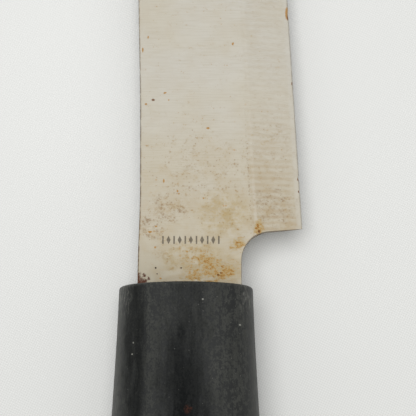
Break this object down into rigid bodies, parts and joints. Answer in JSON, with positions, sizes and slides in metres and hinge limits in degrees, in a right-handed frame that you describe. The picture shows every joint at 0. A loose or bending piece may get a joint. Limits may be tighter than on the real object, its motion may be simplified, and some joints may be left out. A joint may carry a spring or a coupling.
{
  "type": "chef knife",
  "caption": "Narrow single-bevel kitchen knife with a stepped neck and square heel, its hidden tang bonded and pinned inside a worn black oval moulded handle.",
  "frame": {"origin": "where the handle's centre line meets its front face, on the plane of the blade's flat back", "axes": "+Y from the handle to the tip, +X from the spine to the cutting edge, +Z out of the ground face"},
  "size_m": [0.0398, 0.3517, 0.0254],
  "materials": {
    "blade_steel": "dull satin stainless sheet with fine crosswise grinding lines on the bevel, brown stains and rust spots near the heel and neck",
    "handle_resin": "black moulded resin, worn half dull, with lengthwise scuffs and greyed rims",
    "seal_resin": "set dark resin, dull",
    "core_plastic": "plain moulded plastic, as it leaves the mould",
    "pin_steel": "drawn steel rod",
    "adhesive": "cured amber epoxy",
    "cap_resin": "black moulded resin, worn dull on its rounded rim"
  },
  "bodies": {
    "root": {"blade": "blade_steel", "handle": "handle_resin", "neck_seal": "seal_resin", "tang_holder": "core_plastic", "tang_pins": "pin_steel", "tang_adhesive": "adhesive", "butt_cap": "cap_resin"}
  },
  "joints": []
}
